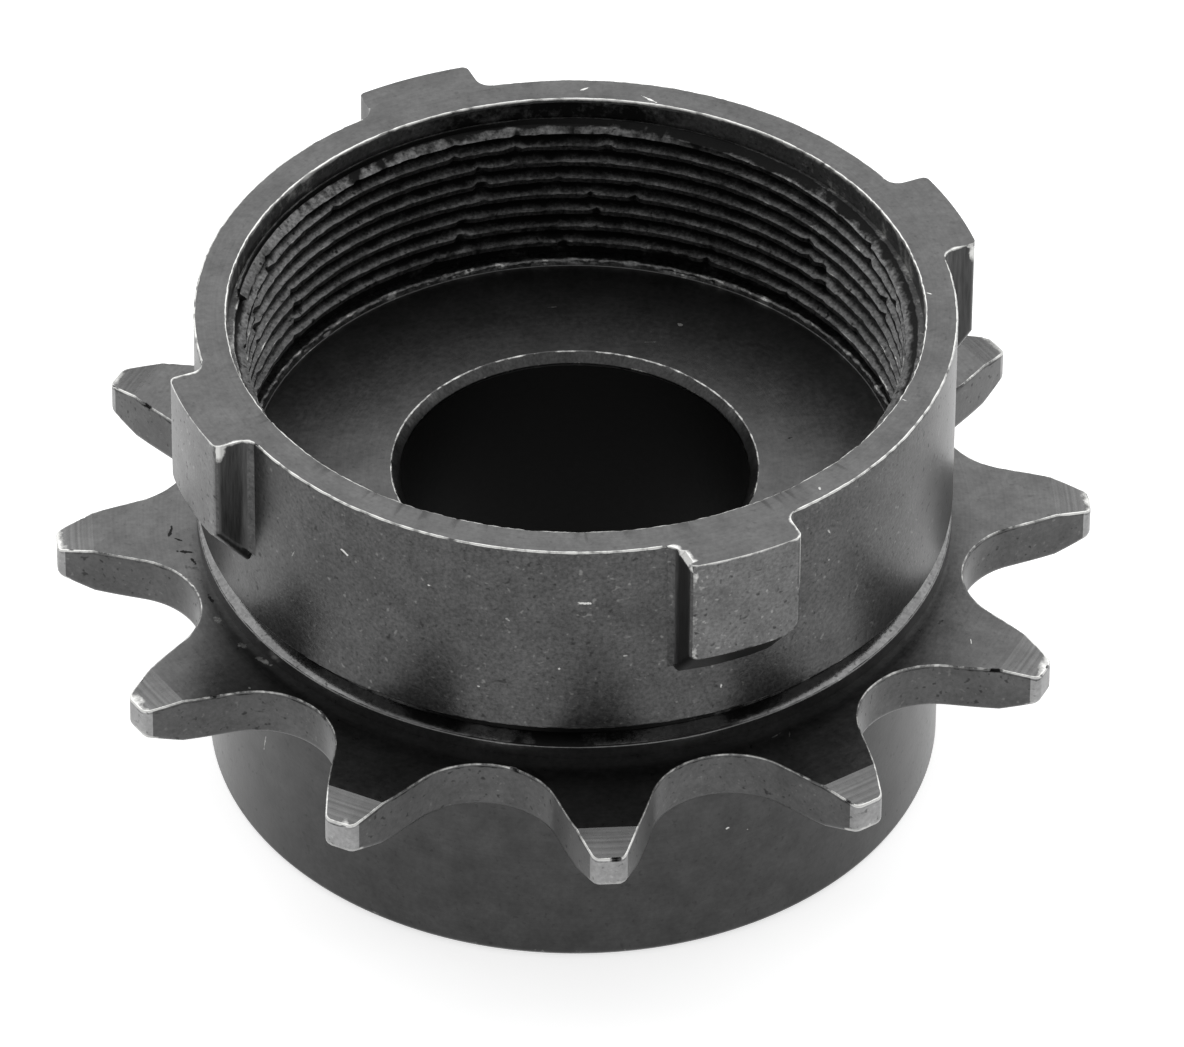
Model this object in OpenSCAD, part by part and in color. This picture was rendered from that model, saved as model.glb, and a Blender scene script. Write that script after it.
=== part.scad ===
// Screw-on rear wheel sprocket, turned and cut from one piece of steel.
// Axis along +Z, base face on z = 0, one tooth centred on +X. Millimetres.

/* [Chain wheel] */
// Number of teeth
teeth = 12; // [9:1:16]
// Chain pitch, roller centre to roller centre
chain_pitch = 12.7; // [12:0.1:15.9]
// Radius of the roller seat between two teeth
seat_r = 4.1; // [3.6:0.05:4.6]
// Half angle of the roller seat, measured at the roller centre
seat_half_angle = 56.5; // [52:0.5:60]
// Height of the teeth above the roller seats
tooth_h = 6.35; // [4.5:0.1:7.5]
// Straight length of the flank between the seat and the bulge
flank_straight = 1; // [0.2:0.1:2]
// Radius of the bulge on the upper tooth flank
flank_bulge_r = 30; // [16:1:60]
// Corner radius of the tooth tips, seen from above
tip_corner_r = 0.5; // [0.2:0.05:0.7]
// Thickness of the toothed disc
disc_t = 2.8; // [1.8:0.1:6]
// Radial width of the turned chamfer on the tooth tips
tip_chamfer_w = 1.9; // [0.5:0.1:3]
// Height of that chamfer on each side of the disc
tip_chamfer_h = 0.5; // [0.1:0.05:0.8]

/* [Drum below the disc] */
// Radius of the drum
drum_r = 19; // [14:0.1:20]
// Height of the drum from its base to the disc
drum_h = 11.1; // [4:0.1:30]
// Chamfer round the base of the drum
base_chamfer = 0.4; // [0.1:0.1:1.5]

/* [Bore] */
// Radius of the through bore
bore_r = 9; // [5:0.1:13]
// Chamfer at both ends of the bore
bore_chamfer = 0.45; // [0.1:0.05:1.5]

/* [Cup above the disc] */
// Radius of the cup wall that carries the thread
thread_wall_r = 17.4; // [15:0.1:18]
// Thickness of the cup wall behind the thread
cup_wall = 2.1; // [1.4:0.1:2.6]
// Height of the cup rim above the disc
cup_h = 13.4; // [10:0.1:30]
// Radial play of the plain lead-in over the thread wall
lead_in_step = 0.4; // [0.1:0.05:1]
// Depth of the plain lead-in below the rim
lead_in_depth = 1.3; // [0.5:0.1:4]
// Depth of the threaded wall below the rim, down to its ledge
thread_depth = 9.8; // [4:0.1:18]
// Radial width of the ledge where the thread ends
ledge_w = 0.7; // [0.2:0.1:2]
// Drop from the ledge to the cup floor
ledge_drop = 0.35; // [0.1:0.05:1.5]

/* [Foot of the cup] */
// Height above the disc where the cup wall ends in a sharp edge
relief_top = 1.95; // [1.6:0.05:4]
// Depth of the relief groove into the cup wall
relief_depth = 0.75; // [0.2:0.05:1]
// Height of the straight bottom of the relief groove
relief_floor_h = 0.5; // [0.2:0.05:0.8]
// Height above the disc of the edge of the foot ring
ring_h = 0.7; // [0.4:0.05:1]
// Chamfer from the foot ring onto the disc
ring_chamfer = 0.1; // [0.05:0.05:0.35]

/* [Drive lugs] */
// Number of lugs on the rim
lugs = 4; // [2:1:6]
// Angle of the first lug from the first tooth
lug_angle = 20; // [0:1:90]
// Height of the lugs over the cup wall
lug_rise = 1.85; // [0.8:0.05:3]
// Width of a lug across its sides
lug_w = 6.1; // [3:0.1:10]
// Radius of the fillet at the root of a lug
lug_root_fillet = 0.8; // [0.3:0.1:1.5]
// Bevel on the upright outer corners of a lug
lug_bevel = 0.35; // [0.1:0.05:0.8]
// Height of the outer face of a lug
lug_h = 6.1; // [3:0.1:8]
// Slope of the underside of a lug
lug_slope = 50; // [35:1:60]

/* [Hidden] */
half_pitch = 180 / teeth;
pitch_r = chain_pitch / (2 * sin(half_pitch));
root_r = pitch_r - seat_r;
tip_r = root_r + tooth_h;
face_z = drum_h + disc_t;
rim_z = face_z + cup_h;
cup_r = thread_wall_r + cup_wall;
lead_in_r = thread_wall_r + lead_in_step;
ledge_z = rim_z - thread_depth;
floor_z = ledge_z - ledge_drop;
ledge_r = thread_wall_r - ledge_w;
relief_r = cup_r - relief_depth;
relief_z = face_z + relief_top;
ring_z = face_z + ring_h;
lug_r = cup_r + lug_rise;
lug_foot_z = rim_z - lug_h;
// the flanks run past the tip circle and a cutter runs past its solid by this
past = 1;
// share of its radius by which a lug's root fillet reaches into the cup wall
root_bite = 0.07;
// end of the roller seat and of the straight flank, from the middle of a gap
flank_dir = [sin(seat_half_angle), cos(seat_half_angle)];
into_tooth = [-cos(seat_half_angle), sin(seat_half_angle)];
seat_end = [pitch_r, 0] + seat_r * into_tooth;
bulge_start = seat_end + flank_straight * flank_dir;
bulge_c = bulge_start + flank_bulge_r * into_tooth;

// centre of a tip corner: it touches the bulge from inside and the tip circle
corner_reach = tip_r - tip_corner_r;
corner_swing = flank_bulge_r - tip_corner_r;
corner_far = norm(bulge_c);
corner_turn = acos((corner_reach * corner_reach + corner_far * corner_far - corner_swing * corner_swing)
  / (2 * corner_reach * corner_far));
corner_at = atan2(bulge_c[1], bulge_c[0]) - corner_turn;
corner_c = corner_reach * [cos(corner_at), sin(corner_at)];

function over_x(p) = [p[0], -p[1]];

// what rounds one tip corner off, on the upper flank of a gap
module tip_corner() {
  on_flank = bulge_c + (corner_c - bulge_c) * flank_bulge_r / corner_swing;
  on_tip = corner_c * tip_r / corner_reach;
  outside = on_flank + on_tip - corner_c + tip_corner_r * (on_flank + on_tip - 2 * corner_c) / norm(on_flank + on_tip - 2 * corner_c);
  difference() {
    polygon([corner_c, on_flank, outside, on_tip]);
    translate(corner_c) circle(r = tip_corner_r);
  }
}

// space between two teeth, its middle on +X
module tooth_gap() {
  far = tip_r + past;
  wide = bulge_start + (far - bulge_start[0]) * [1, 1];
  translate([pitch_r, 0]) circle(r = seat_r);
  polygon([seat_end, bulge_start, over_x(bulge_start), over_x(seat_end)]);
  difference() {
    polygon([bulge_start, [bulge_start[0], wide[1]], wide,
      over_x(wide), [bulge_start[0], -wide[1]], over_x(bulge_start)]);
    translate(bulge_c) circle(r = flank_bulge_r);
    translate(over_x(bulge_c)) circle(r = flank_bulge_r);
  }
  tip_corner();
  mirror([0, 1]) tip_corner();
}

// toothed disc with the turned chamfer on both sides of its tips
module chain_wheel() {
  chamfer_r = tip_r - tip_chamfer_w;
  intersection() {
    linear_extrude(disc_t) difference() {
      circle(r = tip_r);
      for (i = [0 : teeth - 1]) rotate((i + 0.5) * 2 * half_pitch) tooth_gap();
    }
    rotate_extrude() polygon([[0, 0], [chamfer_r, 0], [tip_r, tip_chamfer_h],
      [tip_r, disc_t - tip_chamfer_h], [chamfer_r, disc_t], [0, disc_t]]);
  }
}

// one lug standing out on +X from the cup wall, flush with the rim
module drive_lug() {
  half_w = lug_w / 2;
  // the root fillets end on the cup wall at a slight angle
  fillet_reach = cup_r + lug_root_fillet * (1 - root_bite);
  fillet_c = [sqrt(pow(fillet_reach, 2) - pow(half_w + lug_root_fillet, 2)), half_w + lug_root_fillet];
  touch = fillet_c * cup_r / norm(fillet_c);
  in_wall = thread_wall_r + cup_wall / 2;
  under_wall = thread_wall_r + cup_wall / 4;
  under_z = lug_foot_z - (lug_r - under_wall) * tan(lug_slope);
  corner_x = sqrt(lug_r * lug_r - half_w * half_w) - lug_bevel;
  end_x = corner_x + half_w / 2;
  intersection() {
    // plan: straight sides with root fillets and bevelled corners
    translate([0, 0, under_z - past]) linear_extrude(rim_z - under_z + past) difference() {
      polygon([[in_wall, -touch[1]], [touch[0], -touch[1]], [fillet_c[0], -half_w], [corner_x, -half_w],
        [end_x, -half_w / 2], [end_x, half_w / 2],
        [corner_x, half_w], [fillet_c[0], half_w], [touch[0], touch[1]], [in_wall, touch[1]]]);
      for (s = [-1, 1]) translate([fillet_c[0], s * fillet_c[1]]) circle(r = lug_root_fillet);
    }
    // turned outer face and sloping underside
    rotate_extrude() polygon([[under_wall, under_z], [lug_r, lug_foot_z], [lug_r, rim_z], [under_wall, rim_z]]);
  }
}

// drum, foot ring, relief groove, cup wall and everything bored inside them
module turned_body() {
  rotate_extrude() polygon([
    [bore_r, bore_chamfer], [bore_r + bore_chamfer, 0], [drum_r - base_chamfer, 0], [drum_r, base_chamfer],
    [drum_r, drum_h + disc_t / 2], [cup_r + ring_chamfer, drum_h + disc_t / 2],
    [cup_r + ring_chamfer, face_z], [cup_r, face_z + ring_chamfer], [cup_r, ring_z],
    [relief_r, ring_z + relief_depth / 2], [relief_r, ring_z + relief_depth / 2 + relief_floor_h],
    [cup_r, relief_z], [cup_r, rim_z],
    [lead_in_r, rim_z], [lead_in_r, rim_z - lead_in_depth], [thread_wall_r, rim_z - lead_in_depth],
    [thread_wall_r, ledge_z], [ledge_r, ledge_z], [ledge_r, floor_z],
    [bore_r + bore_chamfer, floor_z], [bore_r, floor_z - bore_chamfer]]);
}

module sprocket() {
  color([0.27, 0.27, 0.28]) union() {
    turned_body();
    translate([0, 0, drum_h]) difference() {
      chain_wheel();
      translate([0, 0, -past]) cylinder(r = bore_r + cup_wall, h = disc_t + 2 * past);
    }
    for (i = [0 : lugs - 1]) rotate([0, 0, lug_angle + i * 360 / lugs]) drive_lug();
  }
}

sprocket();
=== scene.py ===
"""Dressed model of a small screw-on rear wheel sprocket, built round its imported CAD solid.

The real part is turned, threaded and milled from one piece of steel and then blackened. It is
shown here as the turned blank, the toothed disc, the four drive lugs and the cup's thread.
All sizes in the classes are millimetres; the finished meshes are metres.
"""

import logging
import math
from collections.abc import Callable
from dataclasses import dataclass, field
from enum import Enum

import bmesh
import bpy
from bmesh.types import BMEdge, BMesh, BMFace, BMLayerItem, BMVert
from bpy.types import Material, Node, NodeSocket, NodeTree, Object
from mathutils import Euler, Matrix, Vector, noise


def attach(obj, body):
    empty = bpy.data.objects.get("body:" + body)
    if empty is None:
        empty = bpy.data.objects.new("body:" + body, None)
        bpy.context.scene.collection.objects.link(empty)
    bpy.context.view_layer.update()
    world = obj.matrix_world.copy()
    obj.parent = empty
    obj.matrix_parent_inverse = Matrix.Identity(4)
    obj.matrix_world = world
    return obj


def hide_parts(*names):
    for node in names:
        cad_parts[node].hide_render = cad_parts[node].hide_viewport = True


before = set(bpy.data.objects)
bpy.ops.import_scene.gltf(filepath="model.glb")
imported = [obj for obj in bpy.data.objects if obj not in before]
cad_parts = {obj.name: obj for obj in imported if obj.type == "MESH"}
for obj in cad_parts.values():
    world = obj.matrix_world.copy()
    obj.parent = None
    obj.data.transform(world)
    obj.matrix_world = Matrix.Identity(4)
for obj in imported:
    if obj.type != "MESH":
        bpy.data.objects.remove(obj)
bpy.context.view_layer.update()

MM = 0.001
UP = Vector((0, 0, 1))
NODE = "sprocket"
BODY = "root"
# Vertex attribute that says how worn the surface is, or how dark with stains and painted shade, and where
# bare steel and the dark start and are full
WEAR_AND_SHADE = "edge_wear"
BARE = (0.45, 0.9)
STAIN_AND_SHADE = (-0.4, -0.8)
# Bend in degrees above which an edge is shaded sharp, and the same between two wide faces
SHARP_BEND = 38
SHARP_BEND_WIDE = 8
# Area in square millimetres above which a face is wide
WIDE_FACE = 0.5
log = logging.getLogger("sprocket")


class Finish(Enum):
    """Surface finishes of the one piece of steel, in the order of a mesh's material slots."""

    GRITTED = 0
    TURNED = 1
    DRUM = 2
    THREAD = 3
    BURNISHED = 4
    MILLED = 5
    RUBBED = 6
    FACED = 7
    STAMPED = 8
    LEAD_IN = 9
    BORED = 10
    TIP = 11


@dataclass(frozen=True)
class Mark:
    """A scratch, nick or stain on a surface.

    Attributes:
        radius: Distance from the part's axis in millimetres.
        degrees: Angle from +X.
        z: Height.
        length: Half of its length.
        width: Half of its width.
        lean: Angle in degrees between its length and the turning direction.
        strength: Bare steel above 0, dark stain below.
        upright: Whether it lies on an upright wall instead of a level face.
    """

    radius: float
    degrees: float
    z: float
    length: float
    width: float
    lean: float
    strength: float
    upright: bool

    def add(self, tree: NodeTree, mm: NodeSocket, fray: NodeSocket, value: NodeSocket) -> NodeSocket:
        """Adds the mark to the wear.

        Args:
            tree: Node tree of the material.
            mm: Place in millimetres.
            fray: Noise that frays the outline.
            value: Wear without the mark.

        Returns:
            Wear with the mark.
        """
        thin, turned = 0.3, self.degrees + 90
        tilt = (0, self.lean, turned) if self.upright else (0, 0, turned + self.lean)
        size = (self.length, thin, self.width) if self.upright else (self.length, self.width, thin)
        local = add_node(tree, "ShaderNodeMapping", {"vector_type": "TEXTURE"}, vector=mm,
                         location=polar(self.radius, self.degrees, self.z),
                         rotation=tuple(math.radians(a) for a in tilt), scale=size)
        away = add_node(tree, "ShaderNodeVectorMath", {"operation": "LENGTH"}, i0=local.outputs[0])
        frayed = add_node(tree, "ShaderNodeMath", {"operation": "ADD"}, i0=away.outputs["Value"], i1=fray)
        inside = add_node(tree, "ShaderNodeMapRange", value=frayed.outputs[0], from_min=1.0, from_max=0.5,
                          to_max=self.strength)
        total = add_node(tree, "ShaderNodeMath", {"operation": "ADD"}, i0=value, i1=inside.outputs[0])
        return total.outputs[0]


def wall_marks(radius: float, *rows: tuple[float, ...]) -> tuple[Mark, ...]:
    """Lists the marks of one upright wall.

    Args:
        radius: The wall's radius.
        *rows: Angle, height, half length, half width, lean and strength of each mark.

    Returns:
        The marks.
    """
    return tuple(Mark(radius, *row, True) for row in rows)


def level_marks(z: float, *rows: tuple[float, ...]) -> tuple[Mark, ...]:
    """Lists the marks of one level face.

    Args:
        z: The face's height.
        *rows: Angle, radius, half length, half width, lean and strength of each mark.

    Returns:
        The marks.
    """
    return tuple(Mark(row[1], row[0], z, *row[2:], False) for row in rows)


CUP_WALL_MARKS = wall_marks(
    19.5,
    (-92.7, 24.05, 0.45, 0.1, 4, 1), (-115.8, 24, 0.14, 0.07, 0, 1), (-108.1, 18.1, 0.12, 0.08, 0, 1),
    (-71.6, 17.55, 0.07, 0.16, 0, 1), (-96.1, 19.75, 0.12, 0.11, 0, 1), (-53.1, 24.9, 0.3, 0.07, 60, 0.8),
    (-52.9, 23, 0.1, 0.1, 0, 0.7), (-130.3, 24.15, 0.3, 0.09, 25, 1), (-140.6, 22.1, 0.45, 0.05, -62, 0.7),
    (-103.7, 22.7, 0.2, 0.1, 50, 0.6), (-86.4, 20.5, 0.2, 0.07, 10, 0.6),
)
LUG_MARKS = wall_marks(21.35, (-75.9, 23.5, 0.2, 0.09, 0, 0.7), (-76.3, 22.8, 0.2, 0.1, 60, 0.5))
DRUM_MARKS = wall_marks(
    19,
    (-150.3, 7.3, 0.9, 0.05, -78, 0.75), (-69.4, 7.4, 0.12, 0.08, 0, 1), (-66, 6.9, 0.08, 0.06, 0, 0.8),
)
DISC_MARKS = level_marks(
    13.9,
    (-63.8, 20.4, 0.5, 0.07, 12, 0.8), (-62.1, 20.7, 0.35, 0.06, 55, 0.7),
    (-146.7, 19.86, 0.6, 0.22, 5, 0.65), (-151.4, 20, 0.4, 0.22, 20, 0.55),
    (-143.3, 21.7, 0.09, 0.07, 0, 1), (-179.5, 20.9, 0.6, 0.1, -10, -1.1),
    (-177.6, 20.55, 0.35, 0.08, 60, -1), (-174.6, 20.3, 0.5, 0.14, 75, -1.1), (-172.3, 20, 0.4, 0.1, 20, -1),
    (-163, 19.9, 0.5, 0.12, 5, -0.9), (-158, 20.2, 0.5, 0.3, 0, 0.35), (-153, 20.5, 0.6, 0.3, 30, 0.3),
    (-169, 20.3, 1.6, 0.5, 0, -0.45), (-30.5, 22.67, 0.25, 0.04, 30, 0.8), (-28.7, 20.6, 0.3, 0.12, 0, -0.7),
)
RIM_MARKS = level_marks(
    27.3,
    (1.1, 18.06, 0.25, 0.04, 60, 0.9), (84.7, 18.7, 0.45, 0.07, 30, 0.8), (74, 18.2, 0.5, 0.08, -25, 0.9),
    (-53.3, 18.8, 0.14, 0.08, 70, 0.7), (-27.3, 18.1, 0.2, 0.04, 80, 0.6),
)
CUP_FLOOR_MARKS_AND_GLINT = level_marks(
    17.15,
    # the first, strong bright dot is a painted glint; the others are scratches and a stain
    (61, 12.95, 0.14, 0.14, 0, 2), (91.2, 13.2, 0.4, 0.03, 0, 0.7), (65.2, 10.96, 0.5, 0.03, 24, 0.55),
    (8, 11.4, 0.35, 0.09, -80, -1),
)


@dataclass(frozen=True)
class BlackenedSteel:
    """Steel after hot blackening: a dark satin metal that shows bare steel where it is worn.

    Attributes:
        name: Name of the Blender material.
        colour: sRGB hex of the blackened surface.
        worn: sRGB hex of the bare steel on worn edges.
        stain_and_shade: sRGB hex of dirt, of the oxide left in nicks and of painted shade.
        roughness: Roughness of the blackened surface.
        grain_mm: Size of the blasted or etched grain.
        grain_depth: How much the grain lightens and darkens the colour, from 0 to 1.
        streak: How many times longer than wide the grain is along the axis.
        speck: How bright the single bare grains are, from 0 to 1.
        pits: How dark the single pits are, from 0 to 1.
        lathe_mm: Spacing of the turning lines. Real ones are too fine to show, so these are coarser.
        lathe_depth: How much the turning lines lighten and darken the colour.
        bump: Height of the grain in millimetres.
        marks: Scratches and nicks.
    """

    name: str
    colour: str
    worn: str = "#bdbdbb"
    stain_and_shade: str = "#1b1b1b"
    roughness: float = 0.36
    grain_mm: float = 0.22
    grain_depth: float = 0.25
    streak: float = 1.0
    speck: float = 0.0
    pits: float = 0.0
    lathe_mm: float = 0.12
    lathe_depth: float = 0.0
    bump: float = 0.01
    marks: tuple[Mark, ...] = ()

    def material(self) -> Material:
        """Builds the shader of the finish.

        Returns:
            The material.
        """
        material = bpy.data.materials.new(self.name)
        material.use_nodes = True
        tree = material.node_tree
        tree.nodes.clear()
        place = add_node(tree, "ShaderNodeTexCoord").outputs["Object"]
        mm = add_node(tree, "ShaderNodeMapping", vector=place, scale=(1 / MM, 1 / MM, 1 / MM)).outputs[0]
        along = add_node(tree, "ShaderNodeMapping", vector=mm, scale=(1, 1, 1 / self.streak)).outputs[0]
        grain = add_node(tree, "ShaderNodeTexNoise", vector=along, scale=1 / self.grain_mm, detail=3.0,
                         roughness=0.62).outputs[0]
        lathe = self.turning_lines(tree, mm)
        bright, dark = self.wear(tree, mm, grain)
        colour = self.blackened(tree, along, grain, lathe)
        colour = add_node(tree, "ShaderNodeMix", {"data_type": "RGBA"}, i0=bright, i6=colour,
                          i7=linear(self.worn)).outputs[2]
        colour = add_node(tree, "ShaderNodeMix", {"data_type": "RGBA"}, i0=dark, i6=colour,
                          i7=linear(self.stain_and_shade)).outputs[2]
        # stains and painted shade are rougher than steel, and the grain roughens all of them a little
        matt = add_node(tree, "ShaderNodeMath", {"operation": "MULTIPLY_ADD"}, i0=dark, i1=0.25,
                        i2=self.roughness - 0.06)
        rough = add_node(tree, "ShaderNodeMath", {"operation": "MULTIPLY_ADD"}, i0=grain, i1=0.12,
                         i2=matt.outputs[0])
        relief = add_node(tree, "ShaderNodeMath", {"operation": "MULTIPLY_ADD"}, i0=lathe,
                          i1=self.lathe_depth, i2=grain)
        bump = add_node(tree, "ShaderNodeBump", height=relief.outputs[0], distance=self.bump * MM,
                        strength=1.0)
        surface = add_node(tree, "ShaderNodeBsdfPrincipled", base_color=colour, metallic=1.0,
                           roughness=rough.outputs[0], normal=bump.outputs[0])
        add_node(tree, "ShaderNodeOutputMaterial", surface=surface.outputs[0])
        return material

    def turning_lines(self, tree: NodeTree, mm: NodeSocket) -> NodeSocket:
        """Adds the fine rings that a lathe tool leaves round the axis.

        Args:
            tree: Node tree of the material.
            mm: Place in millimetres.

        Returns:
            Noise that changes with radius and height only.
        """
        axes = add_node(tree, "ShaderNodeSeparateXYZ", vector=mm)
        level = add_node(tree, "ShaderNodeCombineXYZ", x=axes.outputs[0], y=axes.outputs[1])
        ring = add_node(tree, "ShaderNodeVectorMath", {"operation": "LENGTH"}, i0=level.outputs[0])
        turned = add_node(tree, "ShaderNodeCombineXYZ", x=ring.outputs["Value"], z=axes.outputs[2])
        return add_node(tree, "ShaderNodeTexNoise", vector=turned.outputs[0], scale=1 / self.lathe_mm,
                        detail=1.0).outputs[0]

    def wear(self, tree: NodeTree, mm: NodeSocket, grain: NodeSocket) -> tuple[NodeSocket, NodeSocket]:
        """Adds the wear and the painted shade held on the mesh, the marks, the bare specks and the pits.

        Args:
            tree: Node tree of the material.
            mm: Place in millimetres.
            grain: Noise of the grain.

        Returns:
            How bare the surface is, and how dark with stains and painted shade, each from 0 to 1.
        """
        ragged = add_node(tree, "ShaderNodeTexNoise", vector=mm, scale=0.9, detail=6.0, roughness=0.68)
        specks = add_node(tree, "ShaderNodeTexNoise", vector=mm, scale=3.2, detail=1.0).outputs[0]
        painted = add_node(tree, "ShaderNodeAttribute", {"attribute_name": WEAR_AND_SHADE})
        patchy = add_node(tree, "ShaderNodeMath", {"operation": "MULTIPLY_ADD"}, i0=ragged.outputs[0], i1=2.0,
                          i2=-1.0)
        value = add_node(tree, "ShaderNodeMath", {"operation": "ADD"}, i0=painted.outputs["Fac"],
                         i1=patchy.outputs[0]).outputs[0]
        fray = add_node(tree, "ShaderNodeMath", {"operation": "MULTIPLY_ADD"}, i0=grain, i1=2.6, i2=-1.3)
        for mark in self.marks:
            value = mark.add(tree, mm, fray.outputs[0], value)
        bare = add_node(tree, "ShaderNodeMapRange", value=value, from_min=BARE[0], from_max=BARE[1])
        # negative values give stains and painted shade alike
        darkening = add_node(tree, "ShaderNodeMapRange", value=value, from_min=STAIN_AND_SHADE[0], from_max=STAIN_AND_SHADE[1])
        grit = add_node(tree, "ShaderNodeMapRange", value=specks, from_min=0.68, from_max=0.78,
                        to_max=self.speck)
        pits = add_node(tree, "ShaderNodeMapRange", value=specks, from_min=0.34, from_max=0.24,
                        to_max=self.pits)
        bright = add_node(tree, "ShaderNodeMath", {"operation": "MAXIMUM"}, i0=bare.outputs[0],
                          i1=grit.outputs[0])
        dark = add_node(tree, "ShaderNodeMath", {"operation": "MAXIMUM"}, i0=darkening.outputs[0],
                        i1=pits.outputs[0])
        return bright.outputs[0], dark.outputs[0]

    def blackened(self, tree: NodeTree, along: NodeSocket, grain: NodeSocket,
                  lathe: NodeSocket) -> NodeSocket:
        """Adds the colour of the unworn surface, mottled by grain, clouds and turning lines.

        Args:
            tree: Node tree of the material.
            along: Place in millimetres, drawn out along the axis by the streak.
            grain: Noise of the grain.
            lathe: Noise of the turning lines.

        Returns:
            The colour.
        """
        cloud = add_node(tree, "ShaderNodeTexNoise", vector=along, scale=0.6, detail=3.0).outputs[0]
        mottle = 1.0
        for pattern, depth in ((grain, self.grain_depth), (cloud, 0.14), (lathe, self.lathe_depth)):
            shade = add_node(tree, "ShaderNodeMapRange", value=pattern, from_min=0.3, from_max=0.7,
                             to_min=1 - depth, to_max=1 + depth)
            mottle = add_node(tree, "ShaderNodeMath", {"operation": "MULTIPLY"}, i0=mottle,
                              i1=shade.outputs[0]).outputs[0]
        return add_node(tree, "ShaderNodeMix", {"data_type": "RGBA", "blend_type": "MULTIPLY"}, i0=1.0,
                        i6=linear(self.colour), i7=mottle).outputs[2]


def make_finishes() -> dict[Finish, Material]:
    """Builds the material of every finish.

    Returns:
        Material of each finish, in the order of the slots.
    """
    steels = {
        # blasted before blackening: dark grey with an even fine grain, pits and a few glints
        Finish.GRITTED: BlackenedSteel("gritted_blackened_steel", "#494949", grain_mm=0.2, grain_depth=0.34,
                                       speck=0.16, pits=0.5, bump=0.012, marks=CUP_WALL_MARKS),
        # turned, then blackened: smoother and a little glossier, with faint rings round the axis
        Finish.TURNED: BlackenedSteel("turned_blackened_steel", "#4d4d4d", roughness=0.3, grain_mm=0.3,
                                      grain_depth=0.15, pits=0.2, lathe_depth=0.05, bump=0.006,
                                      marks=DISC_MARKS + RIM_MARKS),
        # finely turned: the darkest and calmest face, almost without grain
        Finish.DRUM: BlackenedSteel("smooth_blackened_steel", "#434343", roughness=0.32, grain_mm=0.3,
                                    grain_depth=0.1, pits=0.25, lathe_depth=0.03, bump=0.005,
                                    marks=DRUM_MARKS),
        # torn by the threading tool: a coarse grain that breaks up the light along the ridges
        Finish.THREAD: BlackenedSteel("threaded_blackened_steel", "#505050", roughness=0.4, grain_mm=0.2,
                                      grain_depth=0.6, pits=0.9, bump=0.016),
        # burnished: nearly a mirror, so it turns from black to bright round the foot
        Finish.BURNISHED: BlackenedSteel("burnished_blackened_steel", "#5c5c5c", roughness=0.14, grain_mm=0.2,
                                         grain_depth=0.25, pits=0.5, lathe_depth=0.06, bump=0.004),
        # milled along the axis: dark, with upright streaks
        Finish.MILLED: BlackenedSteel("milled_blackened_steel", "#3e3e3e", roughness=0.34, grain_mm=0.16,
                                      grain_depth=0.3, streak=12, bump=0.01),
        # blasted, then rubbed by a tool: paler than the wall, with many bright grains
        Finish.RUBBED: BlackenedSteel("rubbed_blackened_steel", "#5e5e5e", grain_mm=0.2, grain_depth=0.28,
                                      speck=0.25, pits=0.6, bump=0.01, marks=LUG_MARKS),
        # faced with a coarse feed: a grey slope with plain tool lines
        Finish.FACED: BlackenedSteel("faced_blackened_steel", "#545454", roughness=0.28, grain_mm=0.3,
                                     grain_depth=0.1, lathe_mm=0.16, lathe_depth=0.2, bump=0.005),
        # punched out and tumbled: a dull even grey with small pits
        Finish.STAMPED: BlackenedSteel("stamped_blackened_steel", "#4e4e4e", roughness=0.34, grain_mm=0.25,
                                       grain_depth=0.16, speck=0.1, pits=0.6, bump=0.008),
        # worn by the chain: the blackening is half gone and pale steel shows through
        Finish.TIP: BlackenedSteel("tip_rubbed_steel", "#848484", roughness=0.34, grain_mm=0.25,
                                   grain_depth=0.16, speck=0.2, pits=0.5, bump=0.008),
        # etched: rough, so it stays a dull grey from every side
        Finish.LEAD_IN: BlackenedSteel("etched_blackened_steel", "#565656", roughness=0.6, grain_depth=0.3,
                                       speck=0.2, pits=0.5, bump=0.01),
        # bored with a fine feed: as the turned faces, but duller
        Finish.BORED: BlackenedSteel("bored_blackened_steel", "#4e4e4e", roughness=0.38, grain_mm=0.3,
                                     grain_depth=0.15, pits=0.2, lathe_depth=0.05, bump=0.006,
                                     marks=CUP_FLOOR_MARKS_AND_GLINT),
    }
    return {finish: steel.material() for finish, steel in steels.items()}


def linear(code: str) -> tuple[float, float, float, float]:
    """Turns an sRGB hex colour into the linear colour that a shader takes.

    Args:
        code: Colour such as "#6a6a6a".

    Returns:
        Red, green, blue and an alpha of 1.
    """
    parts = [int(code[i : i + 2], 16) / 255 for i in (1, 3, 5)]
    return (*(c / 12.92 if c <= 0.04045 else ((c + 0.055) / 1.055) ** 2.4 for c in parts), 1.0)


def add_node(tree: NodeTree, kind: str, settings: dict | None = None, **links: object) -> Node:
    """Adds one shader node.

    Args:
        tree: Node tree that gets the node.
        kind: Blender's name of the node type.
        settings: Properties of the node, by name.
        **links: Input values or output sockets, by the input's name in lower case with
            underscores, or by its number after "i".

    Returns:
        The new node.
    """
    node = tree.nodes.new(kind)
    for key, value in (settings or {}).items():
        setattr(node, key, value)
    for key, value in links.items():
        if key[0] == "i" and key[1:].isdigit():
            socket = node.inputs[int(key[1:])]
        else:
            socket = next(s for s in node.inputs if s.name.lower().replace(" ", "_") == key and s.enabled)
        if isinstance(value, NodeSocket):
            tree.links.new(value, socket)
        else:
            socket.default_value = value
    return node


def polar(radius: float, degrees: float, z: float = 0.0) -> Vector:
    """Point at a radius and an angle round the part's axis.

    Args:
        radius: Distance from the axis.
        degrees: Angle from +X.
        z: Height.

    Returns:
        The point.
    """
    turn = math.radians(degrees)
    return Vector((radius * math.cos(turn), radius * math.sin(turn), z))


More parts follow.
